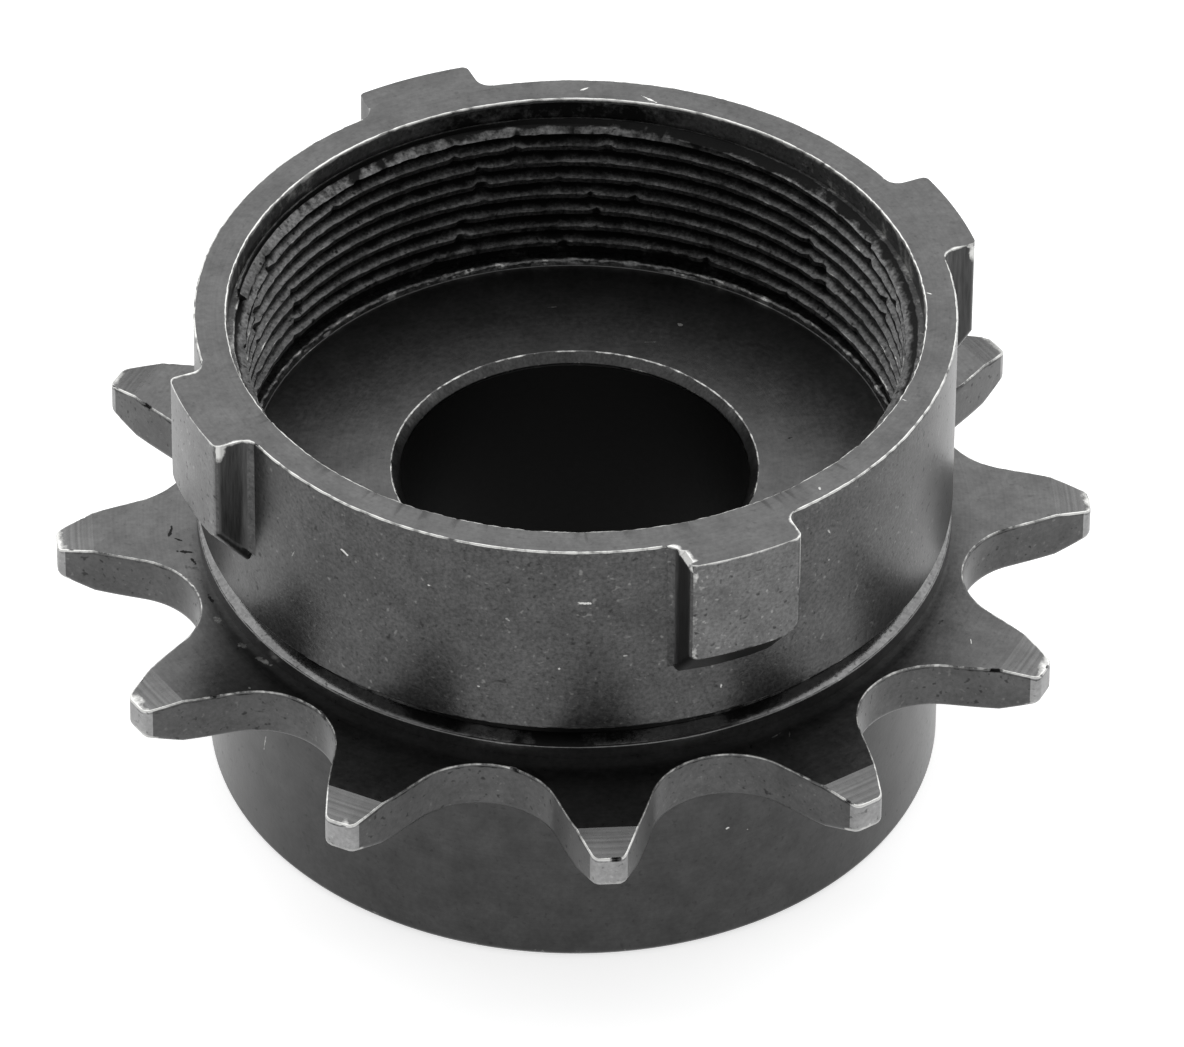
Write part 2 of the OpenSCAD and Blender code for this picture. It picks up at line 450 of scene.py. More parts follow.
def radius_of(point: Vector) -> float:
    """Distance of a point from the part's axis."""
    return math.hypot(point.x, point.y)


def heading(centre: Vector, point: Vector) -> float:
    """Angle in degrees of the direction from a centre to a point in plan."""
    return math.degrees(math.atan2(point.y - centre.y, point.x - centre.x))


def bearing(point: Vector) -> float:
    """Angle in degrees of a point round the part's axis."""
    return heading(Vector(), point)


def ramp(value: float, start: float, length: float) -> float:
    """Rises from 0 at a start to 1 at a length beyond it, and stays level outside."""
    return min(max((value - start) / length, 0), 1)


def ripple(point: Vector, *waves: tuple[float, float], base: float = 0.0) -> float:
    """Adds up noises at a point.

    Args:
        point: Place in millimetres.
        *waves: Strength and number per millimetre of each noise.
        base: What the noises are added to.

    Returns:
        The sum.
    """
    for strength, often in waves:
        base += strength * noise.noise(point * often)
    return base


def pick(geom: list, kind: type) -> list:
    """Picks one kind of element out of what a mesh operator returned."""
    return [g for g in geom if isinstance(g, kind)]


def everything(bm: BMesh) -> list:
    """Lists all vertices, edges and faces of a mesh."""
    return bm.verts[:] + bm.edges[:] + bm.faces[:]


def turn_all(bm: BMesh, degrees: float) -> None:
    """Turns a whole mesh about the part's axis."""
    turn = Matrix.Rotation(math.radians(degrees), 3, "Z")
    bmesh.ops.rotate(bm, cent=Vector(), matrix=turn, verts=bm.verts)


def scale_radius(vert: BMVert, factor: float) -> None:
    """Moves a vertex towards the part's axis or away from it."""
    vert.co.x *= factor
    vert.co.y *= factor


def start_at(bm: BMesh, point: Vector) -> BMVert:
    """Creates the first vertex of an outline."""
    return bmesh.ops.create_vert(bm, co=point)["vert"][0]


def line_to(bm: BMesh, start: BMVert, end: Vector) -> BMVert:
    """Extrudes one vertex along a straight edge.

    Args:
        bm: Mesh that holds the vertex.
        start: Vertex to extrude.
        end: Where the new vertex goes.

    Returns:
        The new vertex.
    """
    out = bmesh.ops.extrude_vert_indiv(bm, verts=[start])
    out["verts"][0].co = end
    return out["verts"][0]


def spin(bm: BMesh, geom: list, angle: float, steps: int, **options: object) -> dict:
    """Spins geometry round an upright axis: the part's own, without merging, unless told otherwise.

    Args:
        bm: Mesh that holds the geometry.
        geom: Vertices, edges and faces to spin.
        angle: Angle in radians, counter-clockwise from above.
        steps: Number of steps.
        **options: Options of the operator that differ from these.

    Returns:
        What the operator returns.
    """
    plain = {"cent": Vector(), "dvec": Vector(), "use_merge": False, "use_duplicate": False}
    return bmesh.ops.spin(bm, geom=geom, axis=UP, angle=angle, steps=steps, use_normal_flip=False,
                          **(plain | options))


def arc_to(bm: BMesh, start: BMVert, centre: Vector, degrees: float, steps: int) -> BMVert:
    """Sweeps one vertex along an arc in plan.

    Args:
        bm: Mesh that holds the vertex.
        start: Vertex to sweep.
        centre: Centre of the arc.
        degrees: Angle of the sweep, counter-clockwise from above.
        steps: Number of edges in the arc.

    Returns:
        The last vertex of the arc.
    """
    out = spin(bm, [start], math.radians(degrees), steps, cent=centre)
    return pick(out["geom_last"], BMVert)[0]


def extrude_edges(bm: BMesh, edges: list[BMEdge]) -> tuple[list[BMEdge], list[BMVert]]:
    """Extrudes edges in place.

    Args:
        bm: Mesh that holds the edges.
        edges: Edges to extrude.

    Returns:
        The new edges and their vertices.
    """
    out = bmesh.ops.extrude_edge_only(bm, edges=edges)["geom"]
    return pick(out, BMEdge), pick(out, BMVert)


def cut_through(bm: BMesh, point: Vector, normal: Vector) -> None:
    """Cuts a whole mesh along a plane and keeps both sides."""
    bmesh.ops.bisect_plane(bm, geom=everything(bm), dist=1e-5, plane_co=point, plane_no=normal)


def finish_mesh(bm: BMesh, name: str, finishes: dict[Finish, Material]) -> Object:
    """Turns a mesh in millimetres into a finished piece that rides on the part.

    Args:
        bm: Mesh in millimetres, with each face's finish as its material index. It is freed.
        name: Name of the piece.
        finishes: Material of each finish.

    Returns:
        The new object.
    """
    bmesh.ops.remove_doubles(bm, verts=bm.verts, dist=0.0005)
    bmesh.ops.recalc_face_normals(bm, faces=bm.faces)
    for face in bm.faces:
        face.smooth = True
    for edge in bm.edges:
        bend = edge.calc_face_angle(0) if len(edge.link_faces) == 2 else math.pi
        wide = all(f.calc_area() > WIDE_FACE for f in edge.link_faces)
        edge.smooth = bend < math.radians(SHARP_BEND_WIDE if wide else SHARP_BEND)
    bmesh.ops.scale(bm, vec=Vector((MM, MM, MM)), verts=bm.verts)
    mesh = bpy.data.meshes.new(name)
    bm.to_mesh(mesh)
    bm.free()
    for finish in Finish:
        mesh.materials.append(finishes[finish])
    piece = bpy.data.objects.new(name, mesh)
    bpy.context.scene.collection.objects.link(piece)
    weighted = piece.modifiers.new("flat_faces_first", "WEIGHTED_NORMAL")
    weighted.keep_sharp = True
    weighted.weight = 80
    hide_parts(NODE)
    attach(piece, BODY)
    log.info("%s: %d faces", name, len(mesh.polygons))
    return piece


@dataclass
class Corner:
    """One corner of a turned profile.

    Attributes:
        r: Radius in millimetres.
        z: Height in millimetres.
        edge_break: How far the rounding reaches along both sides, or 0 for a sharp inner corner.
        wear: How bare the edge is, from 0 to 1, or how dark with painted shade, below 0.
        batter: How far knocks have pushed the edge back.
    """

    r: float
    z: float
    edge_break: float = 0.0
    wear: float = 0.0
    batter: float = 0.0


@dataclass
class TurnedBlank:
    """Drum, foot ring, relief groove and cup, bored through: everything that the lathe made."""

    drum_r: float = 19.0
    face_z: float = 13.9
    rim_z: float = 27.3
    cup_r: float = 19.5
    thread_wall_r: float = 17.4
    lead_in_r: float = 17.8
    step_z: float = 26.0
    ledge_r: float = 16.7
    ledge_z: float = 17.5
    floor_z: float = 17.15
    bore_r: float = 9.0
    bore_chamfer: float = 0.45
    base_chamfer: float = 0.4
    relief_r: float = 18.75
    relief_floor_h: float = 0.5
    relief_z: float = 15.85
    ring_z: float = 14.6
    lip_w: float = 0.1
    # how far the rim and the drum's shoulder lie under the CAD's, the second inside the disc
    rim_drop: float = 0.002
    hidden_drop: float = 1.4
    # width over which wear fades out beside an edge, and the shortest run that gets such a fade
    fade: float = 0.05
    shortest_run: float = 0.25
    # painted shade in the groove at the middle of the front: where, over how many degrees, and how dark
    front_shade_at: float = -96.0
    front_shade_spread: float = 20.0
    front_shade: float = 0.9
    turns: int = 640

    def corners(self) -> list[Corner]:
        """Lists the profile's corners, from the bore's lower end outwards and up.

        Returns:
            The corners in order.
        """
        top = self.rim_z - self.rim_drop
        cove = self.ring_z + (self.cup_r - self.relief_r) / 2
        hidden = self.face_z - self.hidden_drop
        bore_top = self.floor_z - self.bore_chamfer
        return [
            # lower end of the bore, and the drum
            Corner(self.bore_r, self.bore_chamfer, 0.06, 0.3),
            Corner(self.bore_r + self.bore_chamfer, 0, 0.06, 0.5),
            Corner(self.drum_r - self.base_chamfer, 0, 0.08, 0.3),
            Corner(self.drum_r, self.base_chamfer, 0.15, 0.2),
            Corner(self.drum_r, hidden),
            # foot ring with its thin lip, and the relief groove, painted dark with shade
            Corner(self.cup_r, hidden),
            Corner(self.cup_r, self.ring_z, 0.03, 0.25),
            Corner(self.cup_r - self.lip_w / 2, self.ring_z + self.lip_w / 4, wear=-0.8),
            Corner(self.cup_r - self.lip_w, self.ring_z + self.lip_w / 2),
            Corner(self.relief_r, cove, wear=-0.9),
            Corner(self.relief_r, cove + self.relief_floor_h, wear=-0.7),
            # cup wall and rim
            Corner(self.cup_r, self.relief_z, 0.035, 0.5, 0.015),
            Corner(self.cup_r, top, 0.07, 0.85, 0.03),
            Corner(self.lead_in_r, top, 0.075, 0.95, 0.07),
            # lead-in and its step, then the thread's wall, all painted dark with shade
            Corner(self.lead_in_r, top - 0.25, wear=-0.8),
            Corner(self.lead_in_r, self.step_z, wear=-0.9),
            Corner(self.thread_wall_r + 0.1, self.step_z, wear=-0.9),
            Corner(self.thread_wall_r, self.step_z, 0.06, 0.5, 0.06),
            Corner(self.thread_wall_r, self.step_z - 0.2, wear=-0.9),
            Corner(self.thread_wall_r, self.ledge_z, wear=-0.9),
            # ledge, cup floor and upper end of the bore, the bore painted dark with shade below its chamfer
            Corner(self.ledge_r, self.ledge_z, 0.18, 0.36, 0.14),
            Corner(self.ledge_r, self.floor_z, 0.05, 0.3),
            Corner(self.bore_r + self.bore_chamfer, self.floor_z, 0.032, 0.62, 0.04),
            Corner(self.bore_r, bore_top, 0.05, 0.35),
            Corner(self.bore_r, bore_top - 0.2, wear=-1.4),
            Corner(self.bore_r, self.bore_chamfer + 1, wear=-1.4),
        ]

    def profile(self, bm: BMesh, worn: BMLayerItem, soft: BMLayerItem) -> None:
        """Draws the profile as a closed wire with rounded corners in the XZ plane.

        Args:
            bm: Mesh that gets the wire.
            worn: Vertex layer that holds the wear and the painted shade.
            soft: Vertex layer that holds how far knocks move the edge.
        """
        corners = self.corners()
        verts = [start_at(bm, Vector((corners[0].r, 0, corners[0].z)))]
        for corner in corners[1:]:
            verts.append(line_to(bm, verts[-1], Vector((corner.r, 0, corner.z))))
        bmesh.ops.contextual_create(bm, geom=[verts[-1], verts[0]])
        for vert, corner in zip(verts, corners):
            if not corner.edge_break:
                vert[worn] = corner.wear
                continue
            out = bmesh.ops.bevel(bm, geom=[vert], offset=corner.edge_break, offset_type="OFFSET",
                                  segments=4, profile=0.5, affect="VERTICES", clamp_overlap=False,
                                  material=-1)
            for made in out["verts"]:
                made[worn] = corner.wear
                made[soft] = corner.batter
        for edge in [e for e in bm.edges if e.calc_length() > self.shortest_run]:
            self.fade_out(edge, worn, soft)

    def fade_out(self, edge: BMEdge, worn: BMLayerItem, soft: BMLayerItem) -> None:
        """Adds an unworn vertex close to each end of a straight run, unless the whole run is painted dark
        with shade.

        Args:
            edge: Straight run of the profile.
            worn: Vertex layer that holds the wear and the painted shade.
            soft: Vertex layer that holds how far knocks move the edge.
        """
        length = edge.calc_length()
        near, far = edge.verts
        fade = min(self.fade, length / 3)
        between = min(max(near[worn], far[worn]), 0)
        _, made = bmesh.utils.edge_split(edge, near, fade / length)
        made[worn], made[soft] = between, 0
        long_run = next(e for e in made.link_edges if far in e.verts)
        _, made = bmesh.utils.edge_split(long_run, far, fade / long_run.calc_length())
        made[worn], made[soft] = between, 0

    def finish_at(self, centre: Vector) -> Finish:
        """Chooses the finish of a face by its place.

        Args:
            centre: Middle of the face.

        Returns:
            The finish.
        """
        r, z = radius_of(centre), centre.z
        in_cup = r < self.cup_r - 1
        if r > self.relief_r - 0.1 and self.face_z < z < self.relief_z - 0.02:
            return Finish.BURNISHED
        if r > self.cup_r - 0.3 and self.relief_z - 0.1 < z < self.rim_z - 0.06:
            return Finish.GRITTED
        if r > self.drum_r - 0.3 and z < self.face_z - 1:
            return Finish.DRUM
        if in_cup and r > self.thread_wall_r - 0.05 and self.step_z - 0.1 < z < self.rim_z - 0.06:
            return Finish.LEAD_IN
        if in_cup and r > self.ledge_r - 0.05 and self.floor_z + 0.1 < z < self.rim_z - 0.2:
            return Finish.THREAD
        if self.bore_r + self.bore_chamfer < r < self.ledge_r and z > self.floor_z - 0.01:
            return Finish.BORED
        if r < self.bore_r + self.bore_chamfer and z > self.floor_z - self.bore_chamfer:
            return Finish.MILLED
        return Finish.TURNED

    def build(self, finishes: dict[Finish, Material]) -> Object:
        """Spins the profile into the blank.

        Args:
            finishes: Material of each finish.

        Returns:
            The finished piece.
        """
        bm = bmesh.new()
        worn = bm.verts.layers.float.new(WEAR_AND_SHADE)
        soft = bm.verts.layers.float.new("batter")
        self.profile(bm, worn, soft)
        spin(bm, bm.verts[:] + bm.edges[:], math.tau, self.turns, use_merge=True)
        for face in bm.faces:
            face.material_index = self.finish_at(face.calc_center_median()).value
        for vert in bm.verts:
            if vert[soft] > 0:
                self.knock(vert, vert[soft])
                vert[worn] *= 1 + ripple(vert.co, (0.5, 2.2))
            self.stain_and_shade(vert, worn)
        bm.verts.layers.float.remove(soft)
        return finish_mesh(bm, "turned_blank", finishes)

    def knock(self, vert: BMVert, depth: float) -> None:
        """Pushes a vertex of a worn edge back into the metal by a wavy amount.

        Args:
            vert: Vertex on the edge.
            depth: Greatest push in millimetres.
        """
        r = radius_of(vert.co)
        wave = ripple(vert.co, (1, 0.8), (0.8, 2.6), (0.8, 6), base=0.5)
        nick = 6 * max(noise.noise(vert.co * 0.45 + Vector((31, 0, 5))) - 0.45, 0)
        push = depth * min(max(wave, 0) + nick, 3)
        inner = r < (self.thread_wall_r + self.cup_r) / 2
        scale_radius(vert, (r + push * (0.7 if inner else -1)) / r)
        vert.co.z -= 0.15 * push

    def stain_and_shade(self, vert: BMVert, worn: BMLayerItem) -> None:
        """Paints shade: keeps the lead-in dark at the back only, lightening it towards the sides and front,
        and darkens the groove in front.

        Args:
            vert: Vertex of the blank.
            worn: Vertex layer that holds the wear and the painted shade.
        """
        r, z = radius_of(vert.co), vert.co.z
        if vert[worn] < -0.75 and z > self.step_z - 0.01:
            # painted shade on the lead-in: full at the back, gone towards the sides and front
            vert[worn] = min(vert[worn] + 4 * (1 - vert.co.y / r), 0.42)
        elif r > self.relief_r - 0.1 and self.ring_z < z < self.relief_z - 0.1:
            # painted shade in the groove, deepest in the middle of the front
            vert[worn] -= self.front_shade * max(1 - abs(bearing(vert.co) - self.front_shade_at) / self.front_shade_spread, 0)


@dataclass
class ChainWheel:
    """Toothed disc with the turned chamfer on both sides of its tips."""

    teeth: int = 12
    chain_pitch: float = 12.7
    seat_r: float = 4.1
    seat_half_angle: float = 56.5
    tooth_h: float = 6.349
    flank_straight: float = 1.0
    flank_bulge_r: float = 30.0
    tip_corner_r: float = 0.5
    disc_t: float = 2.8
    bottom_z: float = 11.1
    chamfer_w: float = 1.9
    chamfer_h: float = 0.5
    inner_r: float = 18.4
    upper_break: float = 0.06
    lower_break: float = 0.4
    fade: float = 0.06
    # length of the bare end of a tip chamfer, and radial depth of the rubbed tip face
    bare_tip: float = 0.75
    rubbed_tip: float = 0.42
    # greatest wear of the chamfer's flat, wear that only an edge has, and least wear of the upper edge
    flat_wear: float = 0.6
    flat_limit: float = 0.605
    edge_wear: float = 0.62
    # heights of the rows in the outline's wall, and depths of the last two under the upper face
    wall_rows: tuple[float, ...] = (0.45, 1.0, 1.8)
    shade_drop: float = 0.3
    # depth of the row that gets a painted line of shadow under the upper edge
    painted_shadow_drop: float = 0.16
    half_pitch: float = field(init=False)
    pitch_r: float = field(init=False)
    tip_r: float = field(init=False)

    def __post_init__(self) -> None:
        """Works out the roller circle and the tip circle."""
        self.half_pitch = 180 / self.teeth
        self.pitch_r = self.chain_pitch / (2 * math.sin(math.radians(self.half_pitch)))
        self.tip_r = self.pitch_r - self.seat_r + self.tooth_h

    def half_outline(self, bm: BMesh) -> BMFace:
        """Draws the sector from the middle of a gap, on +X, to the middle of the next tooth.

        Args:
            bm: Mesh that gets the sector.

        Returns:
            The sector as one flat face.
        """
        lean = math.radians(self.seat_half_angle)
        roller = Vector((self.pitch_r, 0, 0))
        along = Vector((math.sin(lean), math.cos(lean), 0))
        inwards = Vector((-math.cos(lean), math.sin(lean), 0))
        seat_end = roller + self.seat_r * inwards
        bulge_start = seat_end + self.flank_straight * along
        bulge = bulge_start + self.flank_bulge_r * inwards
        # the tip corner touches the bulge from inside and the tip circle
        reach = self.tip_r - self.tip_corner_r
        swing = self.flank_bulge_r - self.tip_corner_r
        far = bulge.length
        turn = math.acos((reach**2 + far**2 - swing**2) / (2 * reach * far))
        corner = polar(reach, bearing(bulge) - math.degrees(turn))
        on_flank = bulge + (corner - bulge) * self.flank_bulge_r / swing
        on_tip = corner * self.tip_r / reach

        vert = start_at(bm, Vector((self.inner_r, 0, 0)))
        vert = line_to(bm, vert, Vector((self.pitch_r - self.seat_r, 0, 0)))
        vert = arc_to(bm, vert, roller, -self.seat_half_angle, 22)
        for step in (0.25, 0.5, 0.75, 1):
            vert = line_to(bm, vert, seat_end.lerp(bulge_start, step))
        vert = arc_to(bm, vert, bulge, heading(bulge, on_flank) - heading(bulge, bulge_start), 24)
        vert = arc_to(bm, vert, corner, heading(corner, on_tip) - heading(corner, on_flank), 8)
        vert = arc_to(bm, vert, Vector(), self.half_pitch - bearing(on_tip), 4)
        vert = line_to(bm, vert, polar(self.inner_r, self.half_pitch))
        arc_to(bm, vert, Vector(), -self.half_pitch, 6)
        bmesh.ops.remove_doubles(bm, verts=bm.verts, dist=0.0001)
        return bmesh.ops.contextual_create(bm, geom=bm.edges[:])["faces"][0]

    def build(self, finishes: dict[Finish, Material]) -> Object:
        """Builds one sector, breaks its edges and repeats it round the axis.

        Args:
            finishes: Material of each finish.

        Returns:
            The finished piece.
        """
        bm = bmesh.new()
        worn = bm.verts.layers.float.new(WEAR_AND_SHADE)
        base = self.half_outline(bm)
        top = bmesh.ops.extrude_face_region(bm, geom=[base], use_keep_orig=True)
        bmesh.ops.translate(bm, vec=UP * self.disc_t, verts=pick(top["geom"], BMVert))
        self.drop_inner_walls(bm)
        turn_all(bm, -self.half_pitch)
        self.break_edges(bm, worn)
        self.square_up(bm)
        self.cut_rows(bm, worn)
        self.turn_chamfer(bm, worn)
        bmesh.ops.mirror(bm, geom=everything(bm), matrix=Matrix.Identity(4), merge_dist=0.0005, axis="Y")
        others = self.teeth - 1
        spin(bm, everything(bm), math.tau * others / self.teeth, others, use_duplicate=True)
        bmesh.ops.remove_doubles(bm, verts=bm.verts, dist=0.0005)
        self.close_inside(bm)
        self.batter(bm, worn)
        bmesh.ops.translate(bm, vec=UP * self.bottom_z, verts=bm.verts)
        for face in bm.faces:
            face.material_index = self.finish_of(face).value
        return finish_mesh(bm, "chain_wheel", finishes)

    def finish_of(self, face: BMFace) -> Finish:
        """Chooses the finish of a face: turned disc, faced tip chamfer, stamped outline or rubbed tip.

        Args:
            face: Face of the disc.

        Returns:
            The finish.
        """
        r = radius_of(face.calc_center_median())
        if abs(face.normal.z) < 0.8:
            return Finish.TIP if r > self.tip_r - self.rubbed_tip else Finish.STAMPED
        sloped = abs(face.normal.z) < 0.99 and r > self.tip_r - self.chamfer_w
        return Finish.FACED if sloped else Finish.TURNED

    def drop_inner_walls(self, bm: BMesh) -> None:
        """Deletes the three upright walls that lie inside the blank or between two sectors.

        Args:
            bm: Mesh of the sector.
        """
        inside = []
        for face in bm.faces:
            if abs(face.normal.z) > 0.5:
                continue
            middle = face.calc_center_median()
            on_plane = not 0.001 <= bearing(middle) <= self.half_pitch - 0.001
            if radius_of(middle) < self.inner_r + 0.05 or on_plane:
                inside.append(face)
        bmesh.ops.delete(bm, geom=inside, context="FACES_ONLY")

    def break_edges(self, bm: BMesh, worn: BMLayerItem) -> None:
        """Rounds the outline's edges, the lower one more, and marks what is worn.

        Args:
            bm: Mesh of the sector, its tooth on +X.
            worn: Vertex layer that holds the wear.
        """
        middle = self.disc_t / 2
        for upper, reach, steps in ((True, self.upper_break, 3), (False, self.lower_break, 5)):
            large = [f for f in bm.faces if f.calc_area() > 20]
            flat = next(f for f in large if (f.calc_center_median().z > middle) == upper)
            bmesh.ops.inset_region(bm, faces=[flat], thickness=reach + self.fade, depth=0,
                                   use_boundary=False, use_even_offset=True)
            for vert in flat.verts:
                past = max(0.0, vert.co.x - self.tip_r + self.bare_tip)
                vert[worn] = self.flat_wear * past / self.bare_tip if upper else 0
            rims = []
            for edge in bm.edges:
                if len(edge.link_faces) == 2 and (edge.verts[0].co.z > middle) == upper:
                    flatness = sorted(abs(f.normal.z) for f in edge.link_faces)
                    if flatness[0] < 0.3 and flatness[1] > 0.8:
                        rims.append(edge)
            out = bmesh.ops.bevel(bm, geom=rims, offset=reach, offset_type="OFFSET", segments=steps,
                                  profile=0.5, affect="EDGES", clamp_overlap=False, material=-1,
                                  loop_slide=True)
            for vert in out["verts"]:
                at_tip = ramp(vert.co.x - self.tip_r, -2.2, 1.6)
                edge_wear = self.edge_wear + (1 - self.edge_wear) * at_tip
                vert[worn] = edge_wear if upper else 0.7 * at_tip**4

    def square_up(self, bm: BMesh) -> None:
        """Puts the open ends of the sector back onto the two planes where the copies meet.

        Args:
            bm: Mesh of the sector.
        """
        for vert in bm.verts:
            angle = bearing(vert.co)
            for plane in (0.0, -self.half_pitch):
                if vert.is_boundary and abs(angle - plane) < 0.05:
                    vert.co = polar(radius_of(vert.co), plane, vert.co.z)

    def cut_rows(self, bm: BMesh, worn: BMLayerItem) -> None:
        """Cuts rows into the outline's wall, paints a line of shadow under the upper edge and marks bare
        tips.

        Args:
            bm: Mesh of the sector.
            worn: Vertex layer that holds the wear and the painted shadow.
        """
        darkening = self.disc_t - self.painted_shadow_drop
        for height in (*self.wall_rows, self.disc_t - self.shade_drop, darkening):
            cut_through(bm, UP * height, UP)
        for vert in bm.verts:
            if abs(vert.co.z - darkening) < 0.001:
                # painted shadow line under the upper edge's burr
                vert[worn] = -0.62
            elif 0.4 < vert.co.z < darkening:
                vert[worn] = 0.25 * ramp(vert.co.x - self.tip_r, -0.5, 0.4)

    def turn_chamfer(self, bm: BMesh, worn: BMLayerItem) -> None:
        """Cuts both faces where the tip chamfer starts and slopes them down from there.

        The rows in the wall move less than the faces, so that they stay apart.

        Args:
            bm: Mesh of the sector, its tooth on +X.
            worn: Vertex layer that holds the wear.
        """
        shoulder = self.tip_r - self.chamfer_w
        bare_from = self.tip_r - self.bare_tip
        for cut in (shoulder, bare_from):
            cut_through(bm, Vector((cut, 0, 0)), Vector((1, 0, 0)))
        for vert in bm.verts:
            if 0 < vert[worn] < self.flat_limit and vert.co.x < bare_from + 0.01:
                vert[worn] = 0
            over = max(0.0, vert.co.x - shoulder) * self.chamfer_h / self.chamfer_w
            if vert.co.z > self.disc_t / 2:
                vert.co.z -= over * (1 if vert.co.z > self.disc_t - 0.4 else 0.6)
            else:
                vert.co.z += over * (1 if vert.co.z < 0.6 else 0.6)

    def close_inside(self, bm: BMesh) -> None:
        """Bridges the upper and lower inner rim, which lie inside the blank."""
        bmesh.ops.bridge_loops(bm, edges=[e for e in bm.edges if len(e.link_faces) == 1])

    def batter(self, bm: BMesh, worn: BMLayerItem) -> None:
        """Knocks small nicks into the worn upper edges and paints a highlight on the side teeth's chamfers by
        wearing them more.

        Args:
            bm: Mesh of the whole disc.
            worn: Vertex layer that holds the wear and the painted highlight.
        """
        for vert in bm.verts:
            r = radius_of(vert.co)
            if 0 < vert[worn] < self.flat_limit and vert.co.z > self.disc_t - 0.6:
                # painted highlight: the chamfer's wear grows towards the side teeth and shrinks in front and
                # behind
                vert[worn] *= 0.3 + 1.3 * abs(vert.co.x) / r
                continue
            low = vert.co.z < self.disc_t - 0.7
            if vert[worn] < self.flat_limit or low or r < self.pitch_r - self.seat_r:
                continue
            wave = max(ripple(vert.co, (1, 1.1), (0.6, 3.3)), 0)
            nick = noise.noise(vert.co * 1.7 + Vector((0, 17, 0)))
            push = 0.02 * wave + 0.5 * max(nick - 0.42, 0)
            if nick > 0.46:
                vert[worn] = -0.7
            scale_radius(vert, 1 - push / r)
            vert.co.z -= 0.6 * push


@dataclass
class DriveLug:
    """One of the lugs on the rim.

    Attributes:
        angle: Angle of its middle from the first tooth.
        corner_left: Rounding of its lower corner on the clockwise side, seen from above.
        corner_right: Rounding of its lower corner on the other side.
        line_left: How far down the clockwise upright corner gets the painted highlight line.
        line_right: How far down the other upright corner gets the painted highlight line.
        burr_left: Width of the burred facet on the clockwise upper edge.
    """

    angle: float
    corner_left: float
    corner_right: float
    line_left: float
    line_right: float
    burr_left: float = 0.0


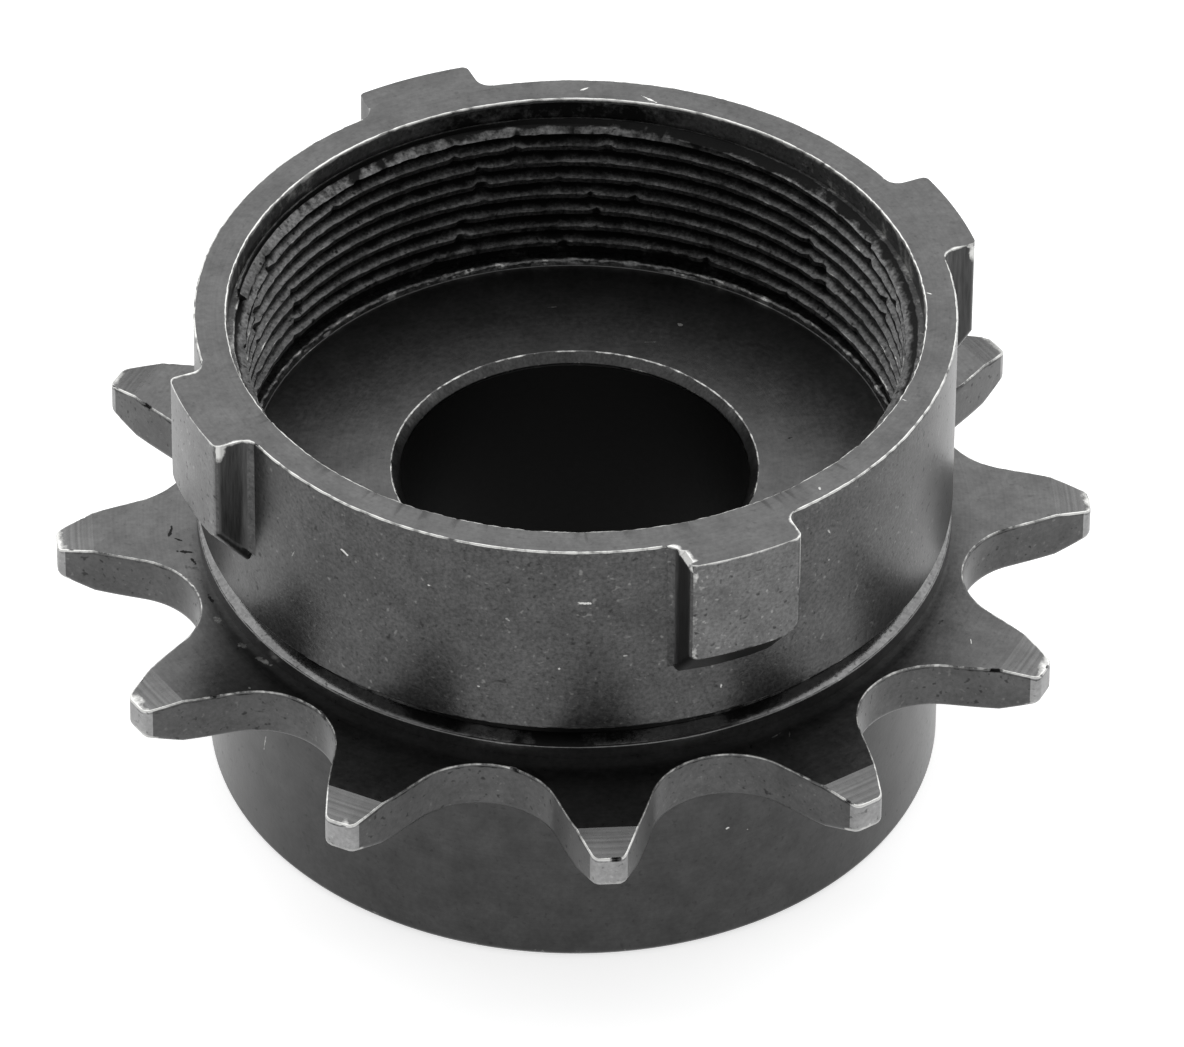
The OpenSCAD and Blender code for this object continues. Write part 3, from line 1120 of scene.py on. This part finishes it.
@dataclass
class DriveLugs:
    """The four lugs that stand out from the cup wall, flush with the rim."""

    cup_r: float = 19.5
    rise: float = 1.85
    width: float = 6.1
    root_fillet: float = 0.8
    root_bite: float = 0.07
    corner_r: float = 0.35
    height: float = 6.1
    slope: float = 50.0
    rim_z: float = 27.3
    edge_break: float = 0.075
    fade: float = 0.06
    # depth of the first row under the top, and steps between the rows below it
    first_row: float = 0.24
    wall_steps: tuple[float, ...] = (0.3, 1.1, 1.3, 1.3)
    # how far the wall's foot reaches into the cup wall
    root_sunk: float = 0.25
    # wear of the upper edges in front, how much painted shade takes off it at the back, and wear of the lower
    # edges
    upper_wear: float = 0.88
    back_shade: float = 0.5
    lower_wear: float = 0.3
    lugs: tuple[DriveLug, ...] = (
        DriveLug(20, 0.8, 0.8, 0.6, 0.3),
        DriveLug(110, 0.8, 0.8, 0.2, 0.2),
        DriveLug(-160, 0.7, 0.9, 1.2, 1.2),
        DriveLug(-70, 0.5, 1.3, 0.4, 4.2, burr_left=0.24),
    )

    def underside(self, x: float, y: float, corner: float) -> float:
        """Height of the underside at a place in plan.

        Args:
            x: Distance along the lug's middle.
            y: Distance from its middle.
            corner: Rounding of the lower corner.

        Returns:
            The height in millimetres.
        """
        inwards = self.cup_r + self.rise - math.hypot(x, y)
        low = self.rim_z - self.height - inwards * math.tan(math.radians(self.slope))
        over = min(max(abs(y) - self.width / 2 + corner, 0.0), corner)
        return low + corner - math.sqrt(max(corner**2 - over**2, 0.0))

    def nose(self) -> Vector:
        """Centre of the rounding of the upright corner.

        Returns:
            The centre, at positive Y.
        """
        out_r, half_w = self.cup_r + self.rise, self.width / 2
        reach = math.sqrt((out_r - self.corner_r) ** 2 - (half_w - self.corner_r) ** 2)
        return Vector((reach, half_w - self.corner_r, 0))

    def half_outline(self, bm: BMesh) -> None:
        """Draws the outline from inside the cup wall to the lug's middle on +X.

        Args:
            bm: Mesh that gets the outline.
        """
        half_w, nose = self.width / 2, self.nose()
        reach = self.cup_r + self.root_fillet * (1 - self.root_bite)
        centre_y = half_w + self.root_fillet
        fillet = Vector((math.sqrt(reach**2 - centre_y**2), centre_y, 0))
        touch = fillet * self.cup_r / reach
        touch = fillet + (touch - fillet).normalized() * self.root_fillet
        vert = start_at(bm, touch * ((self.cup_r - self.root_sunk) / self.cup_r))
        vert = line_to(bm, vert, touch)
        vert = arc_to(bm, vert, fillet, (-90 - heading(fillet, touch) + 180) % 360 - 180, 8)
        for step in (0.34, 0.67, 1):
            vert = line_to(bm, vert, Vector((fillet.x, half_w, 0)).lerp(Vector((nose.x, half_w, 0)), step))
        vert = arc_to(bm, vert, nose, bearing(nose) - 90, 6)
        arc_to(bm, vert, Vector(), -bearing(vert.co), 16)

    def half(self, corner: float, line: float, burr: float) -> BMesh:
        """Builds the half of a lug that lies at positive Y, with its middle on +X.

        Args:
            corner: Rounding of the lower corner.
            line: How far down the upright corner gets the painted highlight line.
            burr: Width of the burred facet on the upper edge, or 0.

        Returns:
            The half's mesh.
        """
        bm = bmesh.new()
        worn = bm.verts.layers.float.new(WEAR_AND_SHADE)
        half_w = self.width / 2
        self.half_outline(bm)
        bmesh.ops.translate(bm, vec=UP * self.rim_z, verts=bm.verts)
        walls = bm.edges[:]
        self.move_side(bm.verts[:], half_w, half_w - burr)
        top_rows = [half_w - burr - self.first_row, 2.2, 1.5, 0.8, 0]
        self.fill_across(bm, walls, top_rows, lambda x, y: self.rim_z)
        for drop in (self.first_row, *self.wall_steps):
            walls, lowered = extrude_edges(bm, walls)
            bmesh.ops.translate(bm, vec=-UP * drop, verts=lowered)
            self.move_side(lowered, half_w - burr, half_w)
        for lift in (self.edge_break + self.fade, 0):
            walls, lowered = extrude_edges(bm, walls)
            for vert in lowered:
                vert.co.z = self.underside(vert.co.x, vert.co.y, corner) + lift
        foot_rows = [half_w - corner + corner * math.sin(math.radians(a)) for a in (78, 64, 50, 36, 22, 8)]
        self.fill_across(bm, walls, [*foot_rows, 1.2, 0.6, 0], lambda x, y: self.underside(x, y, corner))
        bmesh.ops.remove_doubles(bm, verts=bm.verts, dist=0.0005)
        self.paint_corner_light(bm, worn, line, burr)
        return bm

    def move_side(self, verts: list[BMVert], start: float, end: float) -> None:
        """Moves the straight side of the outline sideways, to bend its upper edge over.

        Args:
            verts: Vertices of one level.
            start: Distance from the lug's middle where the side is.
            end: Distance where it goes.
        """
        for vert in verts:
            if abs(vert.co.y - start) < 0.001 and vert.co.x < self.nose().x + 0.001:
                vert.co.y = end

    def paint_corner_light(self, bm: BMesh, worn: BMLayerItem, line: float, burr: float) -> None:
        """Paints a highlight line on the upright corner and a line of shade beside it.

        Args:
            bm: Mesh of the half.
            worn: Vertex layer that holds the wear and the painted light.
            line: How far down the corner gets the painted highlight line.
            burr: Width of the burred facet, or 0. Below a burr the front of the corner gets a soft painted
                highlight.
        """
        nose = self.nose()
        for vert in bm.verts:
            turned = heading(nose, vert.co)
            if abs(math.hypot(vert.co.x - nose.x, vert.co.y - nose.y) - self.corner_r) > 0.01:
                continue
            if self.rim_z - line < vert.co.z < self.rim_z - 0.05:
                # painted highlight line, and a painted line of shade beside it
                if turned > 45:
                    vert[worn] = 1.0
                elif 15 < turned < 30:
                    vert[worn] = -0.7
            elif burr and turned < 35 and vert.co.z < self.rim_z - line:
                # soft painted highlight on the front of the corner below the burr
                vert[worn] = 0.45

    def fill_across(self, bm: BMesh, chain: list[BMEdge], rows: list[float],
                    height: Callable[[float, float], float]) -> None:
        """Grows a surface from a half outline to the lug's middle.

        Args:
            bm: Mesh that holds the outline.
            chain: Edges of the half outline.
            rows: Distances of the rows from the lug's middle, the last of them 0.
            height: Function of x and y that gives the surface's height.
        """
        before = self.width / 2
        for row in rows:
            chain, moved = extrude_edges(bm, chain)
            for vert in moved:
                vert.co.y *= row / before
                vert.co.z = height(vert.co.x, vert.co.y)
            before = row

    def build(self, finishes: dict[Finish, Material]) -> Object:
        """Builds the four lugs as one piece.

        Args:
            finishes: Material of each finish.

        Returns:
            The finished piece.
        """
        whole = bmesh.new()
        whole.verts.layers.float.new(WEAR_AND_SHADE)
        for lug in self.lugs:
            right = (1, lug.corner_right, lug.line_right, 0.0)
            left = (-1, lug.corner_left, lug.line_left, lug.burr_left)
            for side, corner, line, burr in (right, left):
                half = self.half(corner, line, burr)
                bmesh.ops.scale(half, vec=Vector((1, side, 1)), verts=half.verts)
                turn_all(half, lug.angle)
                mesh = bpy.data.meshes.new("half_lug")
                half.to_mesh(mesh)
                half.free()
                whole.from_mesh(mesh)
                bpy.data.meshes.remove(mesh)
        bmesh.ops.remove_doubles(whole, verts=whole.verts, dist=0.001)
        bmesh.ops.recalc_face_normals(whole, faces=whole.faces)
        self.break_edges(whole)
        for face in whole.faces:
            face.material_index = self.finish_of(face).value
        return finish_mesh(whole, "drive_lugs", finishes)

    def finish_of(self, face: BMFace) -> Finish:
        """Chooses the finish of a lug's face: turned top, rubbed front, milled sides.

        Args:
            face: Face of the lugs.

        Returns:
            The finish.
        """
        if face.normal.z > 0.5:
            return Finish.TURNED
        centre = face.calc_center_median()
        outwards = (face.normal.x * centre.x + face.normal.y * centre.y) / radius_of(centre)
        if face.normal.z < -0.3:
            return Finish.MILLED
        if outwards > 0.85 and radius_of(centre) > self.cup_r + 1:
            return Finish.RUBBED
        return Finish.GRITTED if outwards > 0.6 else Finish.MILLED

    def break_edges(self, bm: BMesh) -> None:
        """Rounds the lugs' outer edges and marks them as worn, dimmed by painted shade towards the back.

        Args:
            bm: Mesh of the four lugs.
        """
        worn = bm.verts.layers.float[WEAR_AND_SHADE]
        sharp = []
        for edge in bm.edges:
            bent = len(edge.link_faces) == 2 and edge.calc_face_angle(0) > math.radians(30)
            middle = (edge.verts[0].co + edge.verts[1].co) / 2
            if bent and edge.is_convex and radius_of(middle) > self.cup_r + 0.02:
                sharp.append(edge)
        out = bmesh.ops.bevel(bm, geom=sharp, offset=self.edge_break, offset_type="OFFSET", segments=3,
                              profile=0.5, affect="EDGES", clamp_overlap=True, material=-1, loop_slide=True)
        for vert in out["verts"]:
            # painted shade: the upper edges' wear drops towards the back
            loss = self.back_shade * max(vert.co.y / radius_of(vert.co), 0)
            vert[worn] = self.upper_wear - loss if vert.co.z > self.rim_z - 1 else self.lower_wear


@dataclass
class CupThread:
    """Fine right-handed thread inside the cup: one ridge with torn crests."""

    pitch: float = 1.058
    wall_r: float = 17.4
    crest_r: float = 16.83
    first_crest_z: float = 25.88
    first_crest_at: float = 86.0
    top_z: float = 26.12
    end_z: float = 17.75
    root_half: float = 0.43
    crest_half: float = 0.12
    # how far the ridge's foot is sunk in the wall, and how far its crest is rounded
    root_sunk: float = 0.12
    crest_round: tuple[float, float] = (0.12, 0.06)
    steps_per_turn: int = 320
    # share of a turn over which both ends fade, and the least height there
    fade_turn: float = 0.2
    least_height: float = 0.02
    # depth of the torn crest and of a gouge across it, as shares of the ridge's height
    torn_depth: float = 0.16
    gouge_depth: float = 0.4
    # degrees between two gouges
    gouge_every: float = 3.5

    def section(self) -> list[tuple[float, float]]:
        """Lists the ridge's section from its upper foot over the crest to its lower foot.

        Returns:
            Radius, and height over the ridge's middle, of each corner.
        """
        in_by, down_by = self.crest_round
        upper = [(self.wall_r + self.root_sunk, self.root_half), (self.wall_r, self.root_half),
                 (self.crest_r + in_by, self.crest_half + down_by), (self.crest_r, self.crest_half)]
        return upper + [(r, -z) for r, z in reversed(upper)]

    def build(self, finishes: dict[Finish, Material]) -> Object:
        """Sweeps the ridge's section down a helix and roughens its crest.

        Args:
            finishes: Material of each finish.

        Returns:
            The finished piece.
        """
        bm = bmesh.new()
        worn = bm.verts.layers.float.new(WEAR_AND_SHADE)
        section = self.section()
        first = vert = start_at(bm, Vector((section[0][0], 0, section[0][1])))
        for r, z in section[1:]:
            vert = line_to(bm, vert, Vector((r, 0, z)))
        bmesh.ops.contextual_create(bm, geom=[vert, first])
        for vert in bm.verts:
            vert[worn] = 1 if vert.co.x < self.crest_r + 0.05 else -0.3
        cap = bmesh.ops.contextual_create(bm, geom=bm.edges[:])["faces"][0]
        turns = (self.top_z - self.end_z) / self.pitch
        steps = round(turns * self.steps_per_turn)
        turn_all(bm, self.first_crest_at + 360 * (self.top_z - self.first_crest_z) / self.pitch)
        bmesh.ops.translate(bm, vec=UP * self.top_z, verts=bm.verts)
        spin(bm, [cap, *cap.edges, *cap.verts], -math.tau * turns, steps,
             dvec=-UP * (self.top_z - self.end_z) / steps)
        for vert in bm.verts:
            if radius_of(vert.co) < self.wall_r:
                self.tear(vert, worn)
        for face in bm.faces:
            face.material_index = Finish.THREAD.value
        return finish_mesh(bm, "cup_thread", finishes)

    def tear(self, vert: BMVert, worn: BMLayerItem) -> None:
        """Fades the ridge out at both ends, tears its crest and marks its wear and its painted shade.

        Args:
            vert: Vertex of the ridge.
            worn: Vertex layer that holds the wear, above 0 on the crest, and the painted shade.
        """
        r = radius_of(vert.co)
        fade = self.pitch * self.fade_turn
        ends = min((self.top_z - vert.co.z) / fade, (vert.co.z - self.end_z) / fade, 1.0)
        torn = ripple(vert.co, (0.5, 1.4), (0.5, 4.5))
        gouge = noise.noise(Vector((bearing(vert.co) / self.gouge_every, vert.co.z * 0.3, 4)))
        gouge = min(2.5 * max(gouge - 0.4, 0), self.gouge_depth)
        height = (self.wall_r - r) * max(ends, self.least_height)
        new_r = self.wall_r - height * (1 - self.torn_depth * max(torn, -0.3) - gouge)
        # 0 at the back of the cup and 1 at its sides and front, and turns below the top: they steer the
        # painted shade, darker at the back, on the first turn and, at the back, deeper down
        side = min(1 - vert.co.y / r, 1)
        down = (self.top_z - vert.co.z) / self.pitch
        if r > self.wall_r - 0.05:
            # painted shade at the ridge's foot
            vert[worn] = -1
        elif vert[worn] > 0:
            vert.co.z += 0.04 * noise.noise(vert.co * 3 + Vector((7, 0, 0)))
            # painted light and shade on the crest: lighter at the sides and front, darker at the back
            vert[worn] = 0.2 + 0.2 * side - 0.1 * down * max(1 - 2 * side, 0) - 2 * gouge
            vert[worn] += ripple(vert.co, (0.3, 0.8), (0.5, 3.5))
            vert[worn] -= max(1 - down, 0) * max(1 - side, 0)
        else:
            # painted shade on the flanks: darker at the back and on the first turn
            vert[worn] = -0.4 + 0.55 * side - 0.7 * max(1 - down, 0)
        scale_radius(vert, new_r / r)


@dataclass
class Studio:
    """Camera, floor and soft light of the photograph."""

    camera_mm: tuple[float, float, float] = (-33.565, -477.722, 404.247)
    camera_turn: tuple[float, float, float] = (50.77046, -0.35787, -3.83581)
    lens: float = 363.435
    sensor: float = 36.0
    clip: tuple[float, float] = (0.02, 20.0)
    floor_size: float = 4.0
    floor_colour: tuple[float, float, float, float] = (0.8, 0.8, 0.8, 1.0)
    floor_glow: float = 0.65
    surround: float = 0.6
    box_distance: float = 1.0
    box_bearing: float = 86.0
    box_elevation: float = 54.0
    box_size: tuple[float, float] = (2.6, 1.1)
    box_watts: float = 12.0

    def camera(self) -> None:
        """Places the camera that was fitted to the photograph's circles."""
        data = bpy.data.cameras.new("camera")
        data.sensor_width = self.sensor
        data.lens = self.lens
        data.clip_start, data.clip_end = self.clip
        piece = bpy.data.objects.new("camera", data)
        piece.location = Vector(self.camera_mm) * MM
        piece.rotation_euler = Euler([math.radians(a) for a in self.camera_turn], "XYZ")
        bpy.context.scene.collection.objects.link(piece)
        bpy.context.scene.camera = piece

    def backdrop_rays(self, tree: NodeTree) -> NodeSocket:
        """Adds the test for the rays that see the white backdrop: direct, mirrored or refracted.

        Args:
            tree: Node tree that gets the test.

        Returns:
            Socket that is 1 for those rays.
        """
        path = add_node(tree, "ShaderNodeLightPath")
        mirrored = add_node(tree, "ShaderNodeMath", {"operation": "MAXIMUM"},
                            i0=path.outputs["Is Glossy Ray"], i1=path.outputs["Is Transmission Ray"])
        seen = add_node(tree, "ShaderNodeMath", {"operation": "MAXIMUM"}, i0=path.outputs["Is Camera Ray"],
                        i1=mirrored.outputs[0])
        return seen.outputs[0]

    def floor(self) -> None:
        """Lays a white floor that takes the part's soft shadow."""
        bm = bmesh.new()
        bmesh.ops.create_grid(bm, x_segments=1, y_segments=1, size=self.floor_size / 2)
        mesh = bpy.data.meshes.new("floor")
        bm.to_mesh(mesh)
        bm.free()
        piece = bpy.data.objects.new("floor", mesh)
        bpy.context.scene.collection.objects.link(piece)
        # matt paper: an even white that dims only where the part stands close
        material = bpy.data.materials.new("white_paper")
        material.use_nodes = True
        tree = material.node_tree
        tree.nodes.clear()
        diffuse = add_node(tree, "ShaderNodeBsdfDiffuse", color=self.floor_colour)
        glow = add_node(tree, "ShaderNodeMath", {"operation": "MULTIPLY"}, i0=self.backdrop_rays(tree),
                        i1=self.floor_glow)
        lit = add_node(tree, "ShaderNodeEmission", color=(1, 1, 1, 1), strength=glow.outputs[0])
        both = add_node(tree, "ShaderNodeAddShader", i0=diffuse.outputs[0], i1=lit.outputs[0])
        add_node(tree, "ShaderNodeOutputMaterial", surface=both.outputs[0])
        mesh.materials.append(material)

    def light(self) -> None:
        """Sets a white surround and one wide soft box above and behind the part."""
        world = bpy.data.worlds.new("white_tent")
        bpy.context.scene.world = world
        world.use_nodes = True
        tree = world.node_tree
        strength = add_node(tree, "ShaderNodeMapRange", value=self.backdrop_rays(tree),
                            to_min=self.surround, to_max=1.0)
        background = tree.nodes["Background"]
        background.inputs["Color"].default_value = (1, 1, 1, 1)
        tree.links.new(strength.outputs[0], background.inputs["Strength"])
        data = bpy.data.lights.new("soft_box", "AREA")
        data.shape = "RECTANGLE"
        data.size, data.size_y = self.box_size
        data.energy = self.box_watts
        piece = bpy.data.objects.new("soft_box", data)
        rise = math.radians(self.box_elevation)
        piece.location = polar(self.box_distance * math.cos(rise), self.box_bearing,
                               self.box_distance * math.sin(rise))
        piece.rotation_euler = (-piece.location).to_track_quat("-Z", "Y").to_euler()
        bpy.context.scene.collection.objects.link(piece)

    def build(self) -> None:
        """Builds the camera, the floor and the light."""
        self.camera()
        self.floor()
        self.light()
        bpy.context.scene.view_settings.view_transform = "Standard"


def main() -> None:
    """Builds the studio and the four sub-assemblies."""
    logging.basicConfig(level=logging.INFO, format="%(name)s %(message)s")
    Studio().build()
    finishes = make_finishes()
    for part in (TurnedBlank(), ChainWheel(), DriveLugs(), CupThread()):
        part.build(finishes)


if __name__ == "__main__":
    main()
